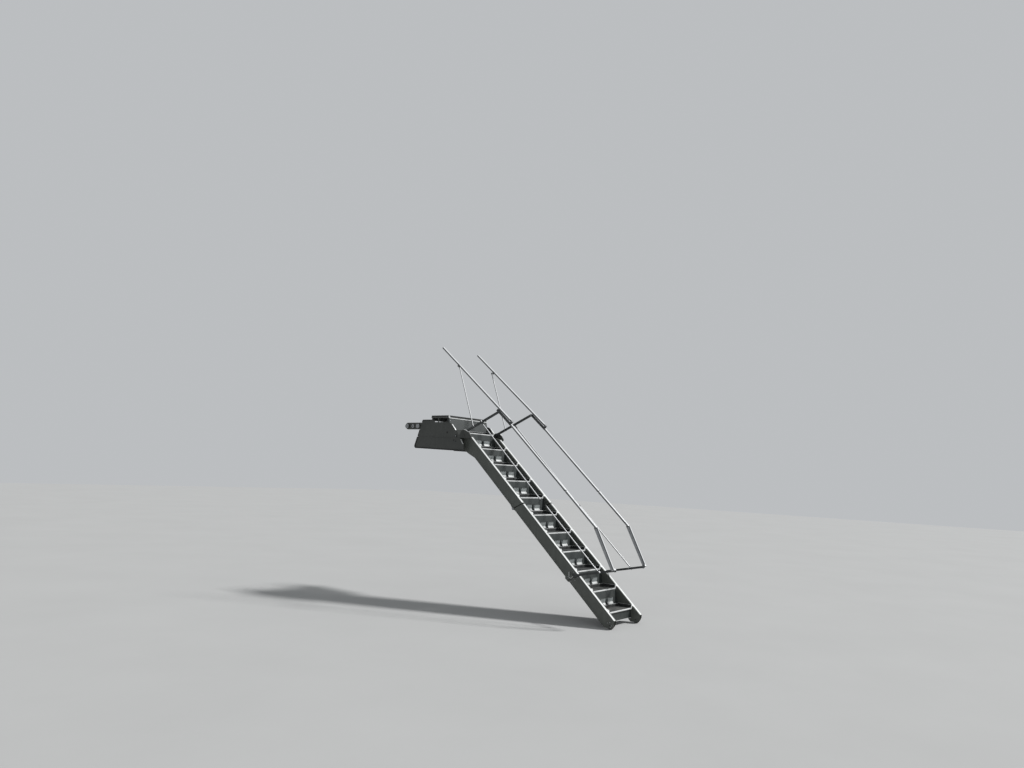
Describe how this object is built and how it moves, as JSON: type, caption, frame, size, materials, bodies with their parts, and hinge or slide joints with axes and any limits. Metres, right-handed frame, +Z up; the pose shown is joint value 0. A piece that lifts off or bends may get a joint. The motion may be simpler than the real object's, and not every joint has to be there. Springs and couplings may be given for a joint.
{
  "type": "folding aircraft airstair",
  "caption": "Narrow two-section folding airstair with hinged handrails, rail extensions and foot rollers, hung from a carriage under an aircraft door.",
  "frame": {"origin": "centre between the two hanger bores at the inboard end of the carriage", "axes": "+X right as seen from the foot of the stair, +Y inboard, +Z up"},
  "size_m": [0.878, 3.5668, 3.4938],
  "materials": {
    "grey_paint": "satin grey paint",
    "bright_edge": "bare, worn bright",
    "deck_paint": "rough grip coat",
    "tread_grip": "dark grip coat",
    "riser_sheet": "satin grey paint",
    "light_panel": "pale translucent panel",
    "rubber": "matt",
    "pin_steel": "turned",
    "link_paint": "dark satin",
    "rail_metal": "brushed tube"
  },
  "bodies": {
    "carriage": {"side_plate_left": "grey_paint", "side_plate_right": "grey_paint", "platform_deck": "deck_paint", "platform_nosing": "bright_edge", "platform_channels": "grey_paint", "deck_bearers": "grey_paint", "front_panel": "riser_sheet", "cross_tubes": "grey_paint"},
    "front_axle": {"front_roller_axle": "pin_steel"},
    "rear_axle": {"rear_roller_axle": "pin_steel"},
    "upper_ladder": {"beam_upper_left": "grey_paint", "beam_upper_right": "grey_paint", "treads_upper": "tread_grip", "nosings_upper": "bright_edge", "risers_upper": "riser_sheet", "step_lights_upper": "light_panel", "swing_pins": "pin_steel"},
    "lower_ladder": {"beam_lower_left": "grey_paint", "beam_lower_right": "grey_paint", "beam_foot_left": "grey_paint", "beam_foot_right": "grey_paint", "splice_plates": "grey_paint", "treads_lower": "tread_grip", "nosings_lower": "bright_edge", "risers_lower": "riser_sheet", "step_lights_lower": "light_panel"},
    "foot_roller_left": {"foot_roller_left": "rubber"},
    "foot_roller_right": {"foot_roller_right": "rubber"},
    "link_upper_left": {"link_upper_left": "link_paint"},
    "top_rail_upper_left": {"top_rail_upper_left": "rail_metal", "rail_bracket_left": "link_paint"},
    "mid_rail_upper_left": {"mid_rail_upper_left": "rail_metal"},
    "link_lower_left": {"link_lower_left": "link_paint"},
    "top_rail_lower_left": {"top_rail_lower_left": "rail_metal"},
    "mid_rail_lower_left": {"mid_rail_lower_left": "rail_metal"},
    "rail_extension_left": {"rail_extension_left": "rail_metal"},
    "extension_strut_left": {"extension_strut_left": "rail_metal"},
    "link_upper_right": {"link_upper_right": "link_paint"},
    "top_rail_upper_right": {"top_rail_upper_right": "rail_metal", "rail_bracket_right": "link_paint"},
    "mid_rail_upper_right": {"mid_rail_upper_right": "rail_metal"},
    "link_lower_right": {"link_lower_right": "link_paint"},
    "top_rail_lower_right": {"top_rail_lower_right": "rail_metal"},
    "mid_rail_lower_right": {"mid_rail_lower_right": "rail_metal"},
    "rail_extension_right": {"rail_extension_right": "rail_metal"},
    "extension_strut_right": {"extension_strut_right": "rail_metal"}
  },
  "joints": [
    {"name": "ladder_swing", "type": "hinge", "parent": "carriage", "child": "upper_ladder", "pos_m": [0, -0.84973, -0.13956], "axis": [-1, 0, 0], "range_deg": [0, 42]},
    {"name": "lower_fold", "type": "hinge", "parent": "upper_ladder", "child": "lower_ladder", "pos_m": [0, -1.83706, -1.0725], "axis": [1, 0, 0], "range_deg": [0, 176]},
    {"name": "front_axle_spin", "type": "hinge", "parent": "carriage", "child": "front_axle", "pos_m": [0, -0.11, 0], "axis": [1, 0, 0], "continuous": true},
    {"name": "rear_axle_spin", "type": "hinge", "parent": "carriage", "child": "rear_axle", "pos_m": [0, 0.11, 0], "axis": [1, 0, 0], "continuous": true},
    {"name": "foot_roller_left_spin", "type": "hinge", "parent": "lower_ladder", "child": "foot_roller_left", "pos_m": [-0.3025, -3.33441, -2.313], "axis": [1, 0, 0], "continuous": true},
    {"name": "handrail_fold_left", "type": "hinge", "parent": "upper_ladder", "child": "link_upper_left", "pos_m": [-0.35, -0.91332, -0.09589], "axis": [1, 0, 0], "range_deg": [0, 30]},
    {"name": "top_rail_upper_left_pivot", "type": "hinge", "parent": "link_upper_left", "child": "top_rail_upper_left", "pos_m": [-0.35, -1.56272, 0.20193], "axis": [1, 0, 0], "range_deg": [-31, 0]},
    {"name": "mid_rail_upper_left_pivot", "type": "hinge", "parent": "link_upper_left", "child": "mid_rail_upper_left", "pos_m": [-0.35, -1.25185, 0.05936], "axis": [1, 0, 0], "range_deg": [-31, 0]},
    {"name": "link_lower_left_pivot", "type": "hinge", "parent": "lower_ladder", "child": "link_lower_left", "pos_m": [-0.35, -2.80148, -1.80979], "axis": [1, 0, 0], "range_deg": [0, 48]},
    {"name": "top_rail_lower_left_pivot", "type": "hinge", "parent": "link_lower_left", "child": "top_rail_lower_left", "pos_m": [-0.35, -3.39122, -1.6857], "axis": [1, 0, 0], "range_deg": [-38, 0]},
    {"name": "mid_rail_lower_left_pivot", "type": "hinge", "parent": "link_lower_left", "child": "mid_rail_lower_left", "pos_m": [-0.35, -3.19071, -1.72789], "axis": [1, 0, 0], "range_deg": [-40, 0]},
    {"name": "extension_fold_left", "type": "hinge", "parent": "top_rail_upper_left", "child": "rail_extension_left", "pos_m": [-0.35, -1.79913, 0.05347], "axis": [1, 0, 0], "range_deg": [0, 180]},
    {"name": "extension_strut_left_pivot", "type": "hinge", "parent": "rail_extension_left", "child": "extension_strut_left", "pos_m": [-0.35, -0.7962, 0.83616], "axis": [1, 0, 0], "range_deg": [-29.5, 0]},
    {"name": "foot_roller_right_spin", "type": "hinge", "parent": "lower_ladder", "child": "foot_roller_right", "pos_m": [0.3025, -3.33441, -2.313], "axis": [1, 0, 0], "continuous": true},
    {"name": "handrail_fold_right", "type": "hinge", "parent": "upper_ladder", "child": "link_upper_right", "pos_m": [0.35, -0.91332, -0.09589], "axis": [1, 0, 0], "range_deg": [0, 30]},
    {"name": "top_rail_upper_right_pivot", "type": "hinge", "parent": "link_upper_right", "child": "top_rail_upper_right", "pos_m": [0.35, -1.56272, 0.20193], "axis": [1, 0, 0], "range_deg": [-31, 0]},
    {"name": "mid_rail_upper_right_pivot", "type": "hinge", "parent": "link_upper_right", "child": "mid_rail_upper_right", "pos_m": [0.35, -1.25185, 0.05936], "axis": [1, 0, 0], "range_deg": [-31, 0]},
    {"name": "link_lower_right_pivot", "type": "hinge", "parent": "lower_ladder", "child": "link_lower_right", "pos_m": [0.35, -2.80148, -1.80979], "axis": [1, 0, 0], "range_deg": [0, 48]},
    {"name": "top_rail_lower_right_pivot", "type": "hinge", "parent": "link_lower_right", "child": "top_rail_lower_right", "pos_m": [0.35, -3.39122, -1.6857], "axis": [1, 0, 0], "range_deg": [-38, 0]},
    {"name": "mid_rail_lower_right_pivot", "type": "hinge", "parent": "link_lower_right", "child": "mid_rail_lower_right", "pos_m": [0.35, -3.19071, -1.72789], "axis": [1, 0, 0], "range_deg": [-40, 0]},
    {"name": "extension_fold_right", "type": "hinge", "parent": "top_rail_upper_right", "child": "rail_extension_right", "pos_m": [0.35, -1.79913, 0.05347], "axis": [1, 0, 0], "range_deg": [0, 180]},
    {"name": "extension_strut_right_pivot", "type": "hinge", "parent": "rail_extension_right", "child": "extension_strut_right", "pos_m": [0.35, -0.7962, 0.83616], "axis": [1, 0, 0], "range_deg": [-29.5, 0]}
  ],
  "couplings": [
    {"joint": "lower_fold", "follows": "ladder_swing", "ratio": 4.1905},
    {"joint": "top_rail_upper_left_pivot", "follows": "handrail_fold_left", "ratio": -1},
    {"joint": "mid_rail_upper_left_pivot", "follows": "handrail_fold_left", "ratio": -1},
    {"joint": "link_lower_left_pivot", "follows": "handrail_fold_left", "ratio": 1.57},
    {"joint": "top_rail_lower_left_pivot", "follows": "handrail_fold_left", "ratio": -1.243},
    {"joint": "mid_rail_lower_left_pivot", "follows": "handrail_fold_left", "ratio": -1.2967},
    {"joint": "extension_fold_left", "follows": "handrail_fold_left", "ratio": 5.9333},
    {"joint": "extension_strut_left_pivot", "follows": "handrail_fold_left", "ratio": -0.95586},
    {"joint": "top_rail_upper_right_pivot", "follows": "handrail_fold_right", "ratio": -1},
    {"joint": "mid_rail_upper_right_pivot", "follows": "handrail_fold_right", "ratio": -1},
    {"joint": "link_lower_right_pivot", "follows": "handrail_fold_right", "ratio": 1.57},
    {"joint": "top_rail_lower_right_pivot", "follows": "handrail_fold_right", "ratio": -1.243},
    {"joint": "mid_rail_lower_right_pivot", "follows": "handrail_fold_right", "ratio": -1.2967},
    {"joint": "extension_fold_right", "follows": "handrail_fold_right", "ratio": 5.9333},
    {"joint": "extension_strut_right_pivot", "follows": "handrail_fold_right", "ratio": -0.95586}
  ]
}
